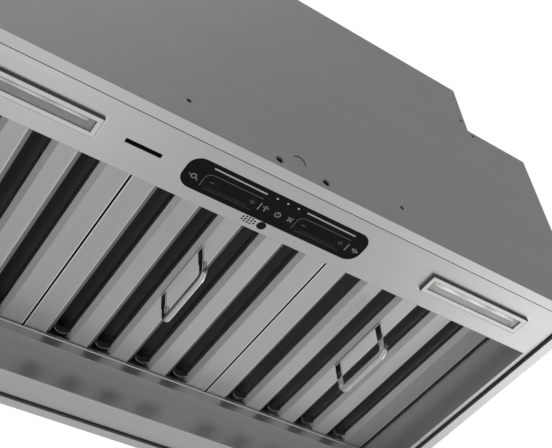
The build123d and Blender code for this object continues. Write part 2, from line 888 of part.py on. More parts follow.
def terminal_block():
    x, y, z0 = knockout_x, back(terminal_line), power_box_floor
    length, width, height = terminal_size
    body = slab(x - length / 2, x + length / 2, y - width / 2, y + width / 2, z0, z0 + height)
    for index in range(terminal_count):
        screw_x = x + (index - (terminal_count - 1) / 2) * terminal_pitch
        body -= rod_z(screw_x, y, z0 + height / 2, z0 + height + 1, terminal_hole_radius)
    return body


def motor_capacitors():
    z1 = body_height - sheet
    y = back(capacitor_line)
    return group([rod_z(x, y, z1 - capacitor_length, z1, capacitor_radius)
                  for x in (-capacitor_spacing / 2, capacitor_spacing / 2)])


# Blowers: built on the right-hand side and mirrored for the left

def scroll_outline(shrink, top):
    y, z = back(blower_line), blower_height
    half = scroll_step / 2
    radius = scroll_start - shrink
    arcs = [CenterArc((y - half, z - half), radius, 90, 90),
            CenterArc((y + half, z - half), radius + scroll_step, 180, 90),
            CenterArc((y + half, z + half), radius + 2 * scroll_step, 270, 90)]
    tongue = y - half + shrink
    ends = [arcs[2] @ 1, (y + half + radius + 2 * scroll_step, top), (tongue, top),
            (tongue, z - half + radius)]
    if shrink:
        ends.append(arcs[0] @ 0)
    return make_face(arcs + [Polyline(*ends)])


def cheek_places():
    return blower_x - scroll_width / 2, blower_x + scroll_width / 2


def scroll_wrap():
    x0, x1 = cheek_places()
    top = body_height - sheet
    x0, x1 = x0 + sheet, x1 - sheet
    return plate_yz(scroll_outline(0, top), x0, x1) - plate_yz(scroll_outline(sheet, top + 1), x0 - 1, x1 + 1)


def scroll_cheeks():
    top = body_height - sheet
    y, z = back(blower_line), blower_height
    y0, y1 = scroll_outlet()
    pieces = []
    for place, sign in zip(cheek_places(), (-1, 1)):
        inner = place - sign * sheet
        deep = inner - sign * inlet_depth
        low, high = min(place, inner), max(place, inner)
        cheek = plate_yz(scroll_outline(0, top), low, high)
        flange_end = place + sign * tower_flange
        cheek += slab(min(place, flange_end), max(place, flange_end), y0, y1, top - sheet, top)
        cheek += rod_x(y, z, min(deep, place), max(deep, place), inlet_radius + sheet)
        cheek -= rod_x(y, z, min(deep, place) - 1, max(deep, place) + 1, inlet_radius)
        for screw_x, screw_y in deck_screw_places():
            if abs(screw_x - place) < tower_flange:
                cheek -= rod_z(screw_x, screw_y, top - 3, top + 1, screw_shank_radius)
        pieces.append(cheek)
    return group(pieces)


def impeller():
    y, z = back(blower_line), blower_height
    x0, x1 = blower_x - impeller_width / 2, blower_x + impeller_width / 2
    inner = impeller_radius - blade_depth
    wheel = rod_x(y, z, blower_x - disc_thickness / 2, blower_x + disc_thickness / 2, impeller_radius)
    for low in (x0, x1 - ring_height):
        wheel += (rod_x(y, z, low, low + ring_height, impeller_radius)
                  - rod_x(y, z, low - 1, low + ring_height + 1, inner))
    wheel += rod_x(y, z, blower_x - hub_length / 2, blower_x + hub_length / 2, hub_radius)
    middle = impeller_radius - blade_depth / 2
    blades = []
    for index in range(blade_count):
        turn = 360 * index / blade_count
        blade = Rot(blade_turn, 0, 0) * Box(x1 - x0, blade_depth, blade_thickness)
        blades.append(Pos(blower_x, y, z) * Rot(turn, 0, 0) * Pos(0, middle, 0) * blade)
    return wheel + blades - rod_x(y, z, x0, x1, shaft_radius)


def motor_start():
    return blower_x + hub_length / 2 + motor_gap


def motor_shaft():
    start = blower_x - hub_length / 2 - shaft_end
    return rod_x(back(blower_line), blower_height, start, motor_start() + shaft_seat, shaft_radius)


def motor():
    y, z = back(blower_line), blower_height
    x0 = motor_start()
    x1 = x0 + motor_length
    body = rod_x(y, z, x0 + motor_nose, x1 - motor_nose, motor_radius)
    body += rod_x(y, z, x0, x1, motor_nose_radius)
    return body - rod_x(y, z, x0 - 1, x0 + shaft_seat + 1, shaft_radius + shaft_fit)


def motor_bracket():
    y, z = back(blower_line), blower_height
    outer = cheek_places()[1]
    reach = inlet_radius + bracket_arm
    bracket = rod_x(y, z, outer, outer + bracket_sheet, bracket_disc_radius)
    arm = Pos(outer + bracket_sheet / 2, reach / 2, 0) * Box(bracket_sheet, reach, bracket_arm)
    for turn in bracket_turns:
        bracket += Pos(0, y, z) * Rot(turn, 0, 0) * arm
    return bracket + rod_x(y, z, motor_start() + motor_length, outer, bracket_boss_radius)


# Fasteners

def front_weld_nuts():
    pieces = []
    for x in (front_holes_x - bolt_hole_spacing / 2, front_holes_x + bolt_hole_spacing / 2):
        nut = plate_xz(Pos(x, bolt_hole_height) * RegularPolygon(nut_size / 2, 6, major_radius=False),
                       front + sheet, front + sheet + nut_height)
        pieces.append(nut - rod_y(x, bolt_hole_height, front, front + sheet + nut_height + 1, nut_bore))
    return group(pieces)


def deck_screws():
    pieces = []
    z = body_height
    for x, y in deck_screw_places():
        screw = rod_z(x, y, z, z + screw_head_height, screw_head_radius)
        pieces.append(screw + rod_z(x, y, z - screw_length, z, screw_shank_radius - screw_gap))
    return group(pieces)


def main():
    os.makedirs("parts", exist_ok=True)
    save("front_panel", front_panel())
    save("left_side_panel", side_panel(-1))
    save("right_side_panel", side_panel(1))
    save("back_panel", back_panel())
    save("fascia", fascia())
    save("recess_liner", recess_liner())
    save("grease_gutter", grease_gutter())
    save("blower_deck", blower_deck())
    save("tower_wrap", tower_wrap())
    save("tower_lid", tower_lid())
    save("duct_collar", duct_collar())
    save("damper_rod", damper_rod())
    save("front_damper_flap", damper_flap(-1))
    save("rear_damper_flap", damper_flap(1))
    save("catch_brackets", catch_brackets())
    save("catch_magnets", catch_magnets())
    for name, centre in zip(("left", "middle", "right"), filter_centres()):
        save(f"{name}_filter_frame", filter_frame(centre))
        save(f"{name}_lower_baffles", lower_baffles(centre))
        save(f"{name}_upper_baffles", upper_baffles(centre))
        save(f"{name}_filter_handle", bail(centre))
    save("lamp_gaskets", lamp_gaskets())
    save("lamp_boards", lamp_boards())
    save("lamp_driver", lamp_driver())
    for name, x in zip(("left", "right"), lamp_centres()):
        save(f"{name}_lamp_bezel", lamp_bezel(x))
        save(f"{name}_lamp_lens", lamp_lens(x))
    save("control_glass", control_glass())
    save("control_board", control_board())
    save("control_tray", control_tray())
    save("speaker", speaker())
    save("sensor_lens", sensor_lens())
    save("vent_insert", vent_insert())
    save("power_box", power_box())
    save("power_box_cover", power_box_cover())
    save("power_board", power_board())
    save("terminal_block", terminal_block())
    save("motor_capacitors", motor_capacitors())
    pieces = {"scroll_wrap": scroll_wrap(), "scroll_cheeks": scroll_cheeks(), "impeller": impeller(),
              "motor_shaft": motor_shaft(), "motor": motor(), "motor_bracket": motor_bracket()}
    for name, piece in pieces.items():
        save(f"right_{name}", piece)
        save(f"left_{name}", mirror(piece, Plane.YZ))
    save("front_weld_nuts", front_weld_nuts())
    save("deck_screws", deck_screws())


main()
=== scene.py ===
from math import cos, pi, radians, sin

import bmesh
import bpy
from mathutils import Matrix, Vector


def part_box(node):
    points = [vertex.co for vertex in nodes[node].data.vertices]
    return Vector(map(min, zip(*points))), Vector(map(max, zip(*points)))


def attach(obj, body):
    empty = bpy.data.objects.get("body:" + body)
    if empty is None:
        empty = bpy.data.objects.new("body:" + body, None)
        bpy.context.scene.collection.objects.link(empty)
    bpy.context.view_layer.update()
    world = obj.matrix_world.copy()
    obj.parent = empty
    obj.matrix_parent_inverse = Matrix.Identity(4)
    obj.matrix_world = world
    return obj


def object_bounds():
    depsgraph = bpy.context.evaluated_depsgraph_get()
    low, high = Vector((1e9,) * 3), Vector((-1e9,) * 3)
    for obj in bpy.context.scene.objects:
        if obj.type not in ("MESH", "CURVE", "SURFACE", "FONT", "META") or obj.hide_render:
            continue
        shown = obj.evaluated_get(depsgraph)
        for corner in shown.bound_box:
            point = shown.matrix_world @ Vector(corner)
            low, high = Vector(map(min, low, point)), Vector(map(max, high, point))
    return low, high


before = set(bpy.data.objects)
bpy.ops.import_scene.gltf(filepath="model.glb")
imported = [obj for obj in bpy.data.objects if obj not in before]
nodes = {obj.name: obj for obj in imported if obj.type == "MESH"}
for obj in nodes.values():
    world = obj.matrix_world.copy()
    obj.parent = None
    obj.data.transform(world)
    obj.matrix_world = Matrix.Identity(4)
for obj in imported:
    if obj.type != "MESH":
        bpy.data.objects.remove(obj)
cadLow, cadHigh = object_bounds()
mm = 0.001
fixedBody = "hood_body"
print("frame loaded:", len(nodes), "nodes")


# Shader maths written as plain sums

class Value:
    # wraps one socket; every operator adds its Math node
    def __init__(self, finish, socket):
        self.finish = finish
        self.socket = socket

    def math(self, operation, *values):
        # without values, the operation works on this one alone
        return self.finish.add("ShaderNodeMath", {"operation": operation}, values or (self,))

    def __add__(self, other):
        return self.math("ADD", self, other)

    def __radd__(self, other):
        return self.math("ADD", other, self)

    def __sub__(self, other):
        return self.math("SUBTRACT", self, other)

    def __rsub__(self, other):
        return self.math("SUBTRACT", other, self)

    def __mul__(self, other):
        return self.math("MULTIPLY", self, other)

    def __rmul__(self, other):
        return self.math("MULTIPLY", other, self)

    def size(self):
        return self.math("ABSOLUTE")

    def least(self, other):
        return self.math("MINIMUM", self, other)

    def most(self, other):
        return self.math("MAXIMUM", self, other)

    def above(self, other):
        return self.math("GREATER_THAN", self, other)

    def below(self, other):
        return self.math("LESS_THAN", self, other)

    def repeat(self, pitch):
        # counted from the middle of each repeat
        return self.math("WRAP", self, pitch / 2, -pitch / 2)


class Finish:
    # the nodes of one material, or of the sky
    def __init__(self, owner):
        owner.use_nodes = True
        self.owner = owner
        self.tree = owner.node_tree
        self.tree.nodes.clear()

    def add(self, kind, settings, sockets, output=0):
        node = self.tree.nodes.new(kind)
        for key, setting in settings.items():
            if key == "stops":
                fillRamp(node.color_ramp, setting)
            else:
                setattr(node, key, setting)
        if not isinstance(sockets, dict):
            sockets = dict(enumerate(sockets))
        for key, value in sockets.items():
            if isinstance(value, Value):
                self.tree.links.new(value.socket, node.inputs[key])
            else:
                node.inputs[key].default_value = value
        return Value(self, node.outputs[output]) if node.outputs else None

    def place(self, scale=(1, 1, 1), move=(0, 0, 0)):
        where = self.add("ShaderNodeTexCoord", {}, {}, "Object")
        return self.add("ShaderNodeMapping", {}, {
            "Vector": where, "Scale": scale, "Location": move})

    def along(self, axis):
        # one Object coordinate, in metres
        return self.add("ShaderNodeSeparateXYZ", {}, {"Vector": self.place()}, axis)

    def noise(self, where, scale, detail=2.0, roughness=0.5):
        return self.add("ShaderNodeTexNoise", {}, {
            "Vector": where, "Scale": scale, "Detail": detail, "Roughness": roughness})

    def ramp(self, value, stops):
        return self.add("ShaderNodeValToRGB", {"stops": stops}, {"Fac": value})

    def mixColour(self, mask, first, second, blend="MIX"):
        settings = {"data_type": "RGBA", "blend_type": blend}
        return self.add("ShaderNodeMix", settings, {0: mask, 6: first, 7: second}, 2)

    def bump(self, height, strength, distance):
        return self.add("ShaderNodeBump", {}, {
            "Height": height, "Strength": strength, "Distance": distance})

    def surface(self, sockets):
        shader = self.add("ShaderNodeBsdfPrincipled", {}, sockets)
        self.add("ShaderNodeOutputMaterial", {}, {"Surface": shader})
        return self.owner


def newFinish(name):
    return Finish(bpy.data.materials.new(name))


def fillRamp(ramp, stops):
    while len(ramp.elements) < len(stops):
        ramp.elements.new(0.5)
    for element, (position, level) in zip(ramp.elements, stops):
        element.position = position
        element.color = grey(level)


def grey(level):
    return (level, level, level, 1)


def closeTo(value, target, reach):
    # 1 at the target, falling to 0 a reach away
    away = ((value - target) * (1 / reach)).size()
    return 1 - away.least(1.0)


def middleOf(name):
    low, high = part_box(name)
    return (low + high) / 2


def dress(material, *names):
    for name in names:
        slots = nodes[name].data.materials
        slots.clear()
        slots.append(material)


# New pieces

def meshObject(name, shape, material):
    mesh = bpy.data.meshes.new(name)
    shape.to_mesh(mesh)
    shape.free()
    mesh.materials.append(material)
    thing = bpy.data.objects.new(name, mesh)
    bpy.context.scene.collection.objects.link(thing)
    return thing


def addPiece(name, shape, material, body=fixedBody):
    bmesh.ops.recalc_face_normals(shape, faces=shape.faces)
    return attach(meshObject(name, shape, material), body)


def addGrid(shape, halfX, halfY, place=(0, 0, 0)):
    corners = bmesh.ops.create_grid(shape, x_segments=1, y_segments=1, size=1)["verts"]
    bmesh.ops.scale(shape, verts=corners, vec=(halfX, halfY, 1))
    bmesh.ops.translate(shape, verts=corners, vec=place)
    return corners


# Camera, lamps, floor and background

studio = {
    "cameraPlace": (-0.440, -0.7325, -0.800),
    "cameraHeading": 38.9,     # degrees, towards the right
    "cameraRise": 48.27,       # degrees, upwards
    "cameraRoll": -6.18,
    "lens": 64.88,
    "sensorWidth": 36,
    "clipStart": 0.05,
    "floorDrop": 2.45,         # the hood hangs this far above the floor
    "floorHalf": 14.0,
    "floorStops": ((0.3, 0.77), (0.7, 0.78)),
    "floorCloud": 0.8,
    "floorRoughness": 0.9,
    "skyForDiffuse": 0.75,
    "softboxes": (             # place, target, width, height, watts
        ((2.1, 0.45, -0.95), (0.1, 0, 0), 1.4, 1.4, 9.5),
        ((-0.05, 0.6, -1.5), (-0.3, 0, 0), 0.4, 0.4, 0.8),
        ((0.3, 0.2, 2.6), (0, 0, 0.3), 2.4, 2.4, 18),
    ),
    "flags": (                 # place, target, half width, half height, colour
        ((0.75, -1.35, 1.25), (0, -0.24, 0.15), 1.5, 1.2, 0.62),
        ((-1.6, 1.3, -1.2), (0, 0, 0.05), 0.9, 0.9, 0.55),
    ),
}


def facing(place, target):
    return (Vector(target) - Vector(place)).to_track_quat("-Z", "Y").to_euler()


def addCamera():
    data = bpy.data.cameras.new("photoCamera")
    data.lens = studio["lens"]
    data.sensor_width = studio["sensorWidth"]
    data.clip_start = studio["clipStart"]
    camera = bpy.data.objects.new("photoCamera", data)
    bpy.context.scene.collection.objects.link(camera)
    aim = (Matrix.Rotation(-radians(studio["cameraHeading"]), 4, "Z")
           @ Matrix.Rotation(radians(90 + studio["cameraRise"]), 4, "X")
           @ Matrix.Rotation(radians(studio["cameraRoll"]), 4, "Z"))
    camera.matrix_world = Matrix.Translation(studio["cameraPlace"]) @ aim
    bpy.context.scene.camera = camera


def addSoftboxes():
    for index, (place, target, width, height, watts) in enumerate(studio["softboxes"]):
        data = bpy.data.lights.new(f"softbox{index + 1}", "AREA")
        data.shape = "RECTANGLE"
        data.size, data.size_y, data.energy = width, height, watts
        lamp = bpy.data.objects.new(data.name, data)
        bpy.context.scene.collection.objects.link(lamp)
        lamp.location = place
        lamp.rotation_euler = facing(place, target)


def addFlags():
    # grey cards that only the metal's reflections see
    for index, (place, target, halfWidth, halfHeight, colour) in enumerate(studio["flags"]):
        finish = newFinish("flagCloth")
        material = finish.surface({"Base Color": grey(colour), "Roughness": 1.0})
        shape = bmesh.new()
        addGrid(shape, halfWidth, halfHeight)
        flag = meshObject(f"studioFlag{index + 1}", shape, material)
        flag.rotation_euler = facing(place, target)
        flag.location = place
        flag.visible_camera = False
        flag.visible_diffuse = False
        flag.visible_shadow = False


def addFloor():
    finish = newFinish("paleFloor")
    cloud = finish.noise(finish.place(), studio["floorCloud"])
    material = finish.surface({
        "Base Color": finish.ramp(cloud, studio["floorStops"]),
        "Roughness": studio["floorRoughness"]})
    shape = bmesh.new()
    half = studio["floorHalf"]
    addGrid(shape, half, half, (0, 0, -studio["floorDrop"]))
    meshObject("studioFloor", shape, material)


def addBackground():
    # seen directly, in metal and through glass it is white; as a lamp it is softer
    sky = Finish(bpy.data.worlds.new("studioSky"))
    bpy.context.scene.world = sky.owner
    camera, glossy, through = (
        sky.add("ShaderNodeLightPath", {}, {}, kind)
        for kind in ("Is Camera Ray", "Is Glossy Ray", "Is Transmission Ray"))
    seen = camera.most(glossy).most(through)
    strength = studio["skyForDiffuse"] + (1 - studio["skyForDiffuse"]) * seen
    light = sky.add("ShaderNodeBackground", {}, {"Color": grey(1), "Strength": strength})
    sky.add("ShaderNodeOutputWorld", {}, {"Surface": light})


addCamera()
addSoftboxes()
addFlags()
addFloor()
addBackground()
print("studio ready")


# Brushed sheet steel

brushing = {
    "scale": 3.0,              # of the fine grain
    "detail": 3.0,
    "widening": 12,            # the bands are this much wider than the grain
    "bandMove": (0.37, 0.11, 0.23),
    "bandScale": 2.0,
    "cloudScale": 4.0,
    "shares": (0.5, 0.35, 0.15),   # of grain, bands and cloud
    "levels": (0.3, 0.7),      # where the darkest and the palest steel lie
    "glossSwing": 0.10,
    "relief": 0.12,
    "reliefDepth": 0.2 * mm,
}


def brushedGrain(finish, look):
    # fine grain plus wider, fainter bands, both drawn out along the brushing
    grain = look["grain"]
    fine = finish.noise(finish.place(scale=grain), brushing["scale"], brushing["detail"])
    bandGrain = tuple(max(part / brushing["widening"], 1) for part in grain)
    bandPlace = finish.place(scale=bandGrain, move=brushing["bandMove"])
    bands = finish.noise(bandPlace, brushing["bandScale"])
    cloud = finish.noise(finish.place(), brushing["cloudScale"])
    fineShare, bandShare, cloudShare = brushing["shares"]
    return fine, fine * fineShare + bands * bandShare + cloud * cloudShare


def steelRamp(finish, level, colour, swing):
    dark, pale = brushing["levels"]
    return finish.ramp(level, ((dark, colour * (1 - swing)), (pale, colour * (1 + swing))))


def steelSurface(finish, look, colour, fine, relief=None, strength=brushing["relief"]):
    # the grain is the relief where no other is given
    swing = brushing["glossSwing"]
    return finish.surface({
        "Base Color": colour, "Metallic": look["metallic"],
        "Roughness": look["roughness"] - swing / 2 + swing * fine,
        "Normal": finish.bump(relief or fine, strength, brushing["reliefDepth"])})


# Casing, and the spot welds of its sides and back

casingLook = {
    "colour": 0.33,
    "metallic": 0.9,
    "roughness": 0.42,
    "grain": (6, 1, 420),
    "swing": 0.05,
    "litLipColour": 0.56,         # painted light: the return lip's underside is painted brighter than the rest of the sheet
    "lipTop": 0.3 * mm,
}
weldLook = {
    "pitch": 42 * mm,
    "radius": 3.0 * mm,
    "rows": (22 * mm, 301 * mm),
    "skin": 0.2 * mm,          # how deep the outer faces reach
    "colour": 0.24,
    "ring": 0.11,
    "ringWidth": 1.4 * mm,
    "grainShare": 0.4,         # of the relief, beside the dimples
    "relief": 0.3,
}


def weldDistance(finish, height):
    # to the nearest weld of the sides and the back, and far away everywhere else
    x, y = finish.along("X"), finish.along("Y")
    onSide = x.size().above(cadHigh.x - weldLook["skin"])
    onBack = y.above(cadHigh.y - weldLook["skin"])
    run = (x + onSide * (y - x)).repeat(weldLook["pitch"])
    low, high = (height - row for row in weldLook["rows"])
    rise = low.size().least(high.size())
    return (run * run + rise * rise).math("SQRT") + (1 - onSide.most(onBack))


def casingSteel():
    look = casingLook
    finish = newFinish("casingSheet")
    fine, level = brushedGrain(finish, look)
    height = finish.along("Z")
    # painted light: below the lip's top the sheet takes the brighter lit colour
    colour = finish.mixColour(height.below(look["lipTop"]),
                              steelRamp(finish, level, look["colour"], look["swing"]),
                              steelRamp(finish, level, look["litLipColour"], look["swing"]))
    distance = weldDistance(finish, height)
    spot = distance.below(weldLook["radius"])
    ring = closeTo(distance, weldLook["radius"], weldLook["ringWidth"])
    colour = finish.mixColour(spot, colour, grey(weldLook["colour"]))
    colour = finish.mixColour(ring, colour, grey(weldLook["ring"]))
    relief = fine * weldLook["grainShare"] - spot
    return steelSurface(finish, look, colour, fine, relief, weldLook["relief"])


# Fascia, liner and gutter

fasciaLook = {
    "colour": 0.52,
    "metallic": 0.9,
    "roughness": 0.36,
    "grain": (5, 520, 520),
    "swing": 0.05,
    "paintedLightReach": 5.0 * mm,     # painted light: a paler band is painted round each lamp
    "paintedLightShare": 0.5,
    "paintedLightColour": 0.85,
}


def fasciaSteel():
    look = fasciaLook
    finish = newFinish("fasciaSteel")
    fine, level = brushedGrain(finish, look)
    colour = steelRamp(finish, level, look["colour"], look["swing"])
    low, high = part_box("right_lamp_bezel")
    middle, half = (low + high) / 2, (high - low) / 2
    x, y = finish.along("X"), finish.along("Y")
    x = x - x.math("SIGN") * middle.x
    y = y - middle.y
    # painted light, paler close to each lamp's frame
    away = (x.size() - half.x).most(y.size() - half.y).most(0.0)
    edge = closeTo(away, 0.0, look["paintedLightReach"]) * look["paintedLightShare"]
    colour = finish.mixColour(edge, colour, grey(look["paintedLightColour"]))
    return steelSurface(finish, look, colour, fine)


# Baffle filters with painted light and shade; each pair of colours runs from the left of the
# hood to its right

baffles = {
    "pitch": 57.5 * mm,
    "flatHalf": 11.0 * mm,
    "filterPitch": middleOf("middle_filter_frame").x - middleOf("left_filter_frame").x,
    "filterHalf": middleOf("middle_filter_frame").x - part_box("middle_filter_frame")[0].x,
}
filterLook = {
    # painted light and shade: the flanks are painted lighter or darker than the flats, and all
    # three change from the left to the right as the light falls
    "colour": (0.46, 0.535),
    "paintedLeftFlank": (0.57, 0.48),
    "shadedRightFlank": (0.33, 0.33),
    "lightToRight": ((0.38, 0), (0.56, 1)),
    "metallic": 0.7,
    "roughness": 0.38,
    "grain": (620, 7, 620),
    "swing": 0.06,
    "paintedLightColour": 0.92,        # bends and rails catch the light
    "bendWidth": 1.0 * mm,
    "railInset": 0.7 * mm,
    "railWidth": 1.2 * mm,
    "railShare": 0.8,
    "shadedUprightColour": 0.20,       # painted shade: the upright edges behind the slots are painted dark
    "upperFrom": 72.4 * mm,
    # painted shade: the frames' sides in the gaps between filters are painted near black
    "shadedSideColour": 0.03,
    "sideSkin": 0.15 * mm,
}


def fromLeft(x):
    # 0 at the left end of the hood, 1 at its right end
    return x * (1 / (cadHigh.x - cadLow.x)) + 0.5


def filterSteel():
    look = filterLook
    finish = newFinish("filterSteel")
    fine, level = brushedGrain(finish, look)
    x, height = finish.along("X"), finish.along("Z")
    inFilter = x.repeat(baffles["filterPitch"])
    inBaffle = inFilter.repeat(baffles["pitch"])
    fromMiddle = inFilter.size()
    lightToRight = finish.ramp(fromLeft(x), look["lightToRight"])

    def tone(key):
        first, second = (steelRamp(finish, level, colour, look["swing"]) for colour in look[key])
        return finish.mixColour(lightToRight, first, second)

    within = 1 - fromMiddle.above(baffles["filterHalf"] - baffles["pitch"] / 4)
    onLeft = inBaffle.below(-baffles["flatHalf"]) * within
    onRight = inBaffle.above(baffles["flatHalf"]) * within
    # painted light and shade on the left and right flanks
    colour = finish.mixColour(onLeft, tone("colour"), tone("paintedLeftFlank"))
    colour = finish.mixColour(onRight, colour, tone("shadedRightFlank"))
    bend = closeTo(inBaffle, baffles["flatHalf"], look["bendWidth"]) * within
    rail = closeTo(fromMiddle, baffles["filterHalf"] - look["railInset"], look["railWidth"])
    shine = bend + rail * look["railShare"]
    colour = finish.mixColour(shine, colour, grey(look["paintedLightColour"]))
    # painted shade on the upright edges
    upright = height.above(look["upperFrom"])
    colour = finish.mixColour(upright, colour, grey(look["shadedUprightColour"]))
    # painted shade on the frames' sides
    shadedSides = fromMiddle.above(baffles["filterHalf"] - look["sideSkin"])
    colour = finish.mixColour(shadedSides, colour, grey(look["shadedSideColour"]))
    return steelSurface(finish, look, colour, fine)


# Upper channels, seen through the slots, with painted shade and light

roofLook = {
    "colour": 0.95,
    "metallic": 1.0,
    "roughness": 0.45,
    "grain": (620, 7, 620),
    "swing": 0.10,
    "reach": 20 * mm,          # from a slot's middle to the ends of the stops
    "stops": (                 # painted shade, darkest in the middle of each slot
        (0, 0.74), (0.145, 0.74), (0.17, 0.58), (0.2, 0.38), (0.225, 0.27), (0.25, 0.18),
        (0.3, 0.134), (0.375, 0.096), (0.5, 0.096), (0.6, 0.14), (0.7, 0.26), (0.78, 0.60),
        (0.86, 0.95), (1, 1.0)),
    # painted shade, darker towards the left of the hood
    "across": ((0.28, 0.22), (0.46, 0.31), (0.60, 0.46), (0.78, 0.66)),
    "rearStart": 110 * mm,
    "rearEnd": 190 * mm,
    "rearPaintedLight": 2.5,           # painted light, brighter towards the rear
}


def roofSteel():
    look = roofLook
    finish = newFinish("roofSteel")
    fine, level = brushedGrain(finish, look)
    x = finish.along("X")
    inFilter = x.repeat(baffles["filterPitch"]) + baffles["pitch"] / 2
    inGap = inFilter.repeat(baffles["pitch"])
    # painted shade across each slot
    depth = finish.ramp(inGap * (0.5 / look["reach"]) + 0.5, look["stops"])
    grain = steelRamp(finish, level, look["colour"], look["swing"])
    across = finish.ramp(fromLeft(x), look["across"])
    rearRun = look["rearEnd"] - look["rearStart"]
    toRear = ((finish.along("Y") - look["rearStart"]) * (1 / rearRun)).least(1.0).most(0.0)
    lift = finish.ramp(toRear, ((0, 1.0), (1, 1 / look["rearPaintedLight"])))
    # painted shade and light multiplied into the grain
    colour = finish.mixColour(1.0, depth, grain, "MULTIPLY")
    colour = finish.mixColour(1.0, colour, across, "MULTIPLY")
    colour = finish.mixColour(1.0, colour, lift, "DIVIDE")
    return steelSurface(finish, look, colour, fine)


# Polished drop handles

handleLook = {
    "scuffStretch": (1, 0.2, 1),
    "scuffScale": 900,
    "scuffStops": ((0.3, 0.88), (0.7, 0.94)),
    "highlightStops": (           # painted highlights: the rounded edges of the grip are painted brightest
        (0, 0.5), (0.12, 0.8), (0.2, 1.0), (0.28, 0.58), (0.66, 0.66), (0.78, 1.0), (1, 1.0)),
    "roughness": 0.04,
    "glossSwing": 0.07,
}


def polishedHandle():
    look = handleLook
    finish = newFinish("polishedHandle")
    low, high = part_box("middle_filter_handle")
    scuff = finish.noise(finish.place(scale=look["scuffStretch"]), look["scuffScale"])
    inFilter = finish.along("X").repeat(baffles["filterPitch"])
    across = (inFilter - low.x) * (1 / (high.x - low.x))
    # scuffs times the painted highlights across the grip
    colour = finish.mixColour(1.0, finish.ramp(scuff, look["scuffStops"]),
                              finish.ramp(across, look["highlightStops"]), "MULTIPLY")
    return finish.surface({
        "Base Color": colour, "Metallic": 1.0,
        "Roughness": look["roughness"] + look["glossSwing"] * scuff})


# Galvanised sheet

zincLook = {
    "flakeScale": 160,
    "cloudScale": 30,
    "cloudDetail": 3.0,
    "shares": (0.6, 0.4),      # of flakes and cloud
    "stops": ((0.1, 0.40), (0.5, 0.50), (0.9, 0.44)),
    "metallic": 0.9,
    "roughness": 0.34,
    "glossSwing": 0.22,
    "relief": 0.05,
    "reliefDepth": 0.2 * mm,
}


def zincSheet():
    look = zincLook
    finish = newFinish("zincCoat")
    flakes = finish.add("ShaderNodeTexVoronoi", {}, {
        "Vector": finish.place(), "Scale": look["flakeScale"]}, "Distance")
    cloud = finish.noise(finish.place(), look["cloudScale"], look["cloudDetail"])
    flakeShare, cloudShare = look["shares"]
    return finish.surface({
        "Base Color": finish.ramp(flakes * flakeShare + cloud * cloudShare, look["stops"]),
        "Metallic": look["metallic"],
        "Roughness": look["roughness"] + look["glossSwing"] * cloud,
        "Normal": finish.bump(flakes, look["relief"], look["reliefDepth"])})


# Finishes with one noise for their colour, gloss and, on the motors, relief

speckles = {
    "brightZinc": {
        "scale": 400, "stops": ((0.3, 0.50), (0.7, 0.62)),
        "roughness": 0.22, "glossSwing": 0.12, "fixed": {"Metallic": 1.0}},
    "motorCase": {
        "scale": 500, "detail": 3.0, "stops": ((0.3, 0.30), (0.7, 0.38)),
        "roughness": 0.42, "glossSwing": 0.14, "fixed": {"Metallic": 1.0},
        "relief": 0.3, "reliefDepth": 0.3 * mm},
    "lampFrame": {
        "scale": 240, "detail": 3.0, "stops": ((0.3, 0.63), (0.7, 0.69)),
        "roughness": 0.38, "glossSwing": 0.10, "fixed": {"Metallic": 0.55}},
    "lampLens": {
        "scale": 700, "stops": ((0.3, 0.70), (0.7, 0.78)),
        "roughness": 0.10, "glossSwing": 0.16, "fixed": {"Alpha": 0.14}},
    "controlGlass": {
        "stretch": (1, 2, 1), "scale": 22, "detail": 4.0, "grit": 0.6,
        "stops": ((0.3, 0.004), (0.8, 0.007)),
        "roughness": 0.08, "glossSwing": 0.10, "fixed": {"Specular IOR Level": 0.09}},
    "sensorWindow": {
        "scale": 300, "stops": ((0.3, 0.004), (0.8, 0.007)),
        "roughness": 0.10, "glossSwing": 0.08, "fixed": {"Specular IOR Level": 0.09}},
}


def speckled(name):
    look = speckles[name]
    finish = newFinish(name)
    where = finish.place(scale=look.get("stretch", (1, 1, 1)))
    speck = finish.noise(where, look["scale"], look.get("detail", 2.0), look.get("grit", 0.5))
    sockets = dict(look["fixed"])
    sockets["Base Color"] = finish.ramp(speck, look["stops"])
    sockets["Roughness"] = look["roughness"] + look["glossSwing"] * speck
    if "relief" in look:
        sockets["Normal"] = finish.bump(speck, look["relief"], look["reliefDepth"])
    return finish.surface(sockets)


dress(casingSteel(), "front_panel", "left_side_panel", "right_side_panel", "back_panel",
      "tower_wrap", "tower_lid", "blower_deck")
dress(fasciaSteel(), "fascia", "recess_liner", "grease_gutter")
filterFinish, roofFinish, handleFinish = filterSteel(), roofSteel(), polishedHandle()
for side in ("left", "middle", "right"):
    dress(filterFinish, f"{side}_filter_frame", f"{side}_lower_baffles")
    dress(roofFinish, f"{side}_upper_baffles")
    dress(handleFinish, f"{side}_filter_handle")
zinc = zincSheet()
dress(zinc, "duct_collar", "front_damper_flap", "rear_damper_flap", "catch_brackets",
      "power_box", "power_box_cover")
for side in ("left", "right"):
    dress(zinc, f"{side}_scroll_wrap", f"{side}_scroll_cheeks", f"{side}_motor_bracket")
bright = speckled("brightZinc")
dress(bright, "damper_rod", "left_motor_shaft", "right_motor_shaft", "front_weld_nuts",
      "deck_screws")
print("sheet steel dressed")


# Moulded plastics and magnets

moulding = {
    "blackPlastic": {"colour": (0.018, 0.018, 0.019), "roughness": 0.48},
    "whitePlastic": {"colour": (0.68, 0.68, 0.66), "roughness": 0.45},
    "magnetFerrite": {"colour": (0.08, 0.08, 0.08), "roughness": 0.55},
    "darker": 0.85,
    "skinScale": 900,
    "skinDetail": 3.0,
    "cloudScale": 18,
    "glossSwing": 0.12,
    "relief": 0.15,
    "reliefDepth": 0.1 * mm,
}


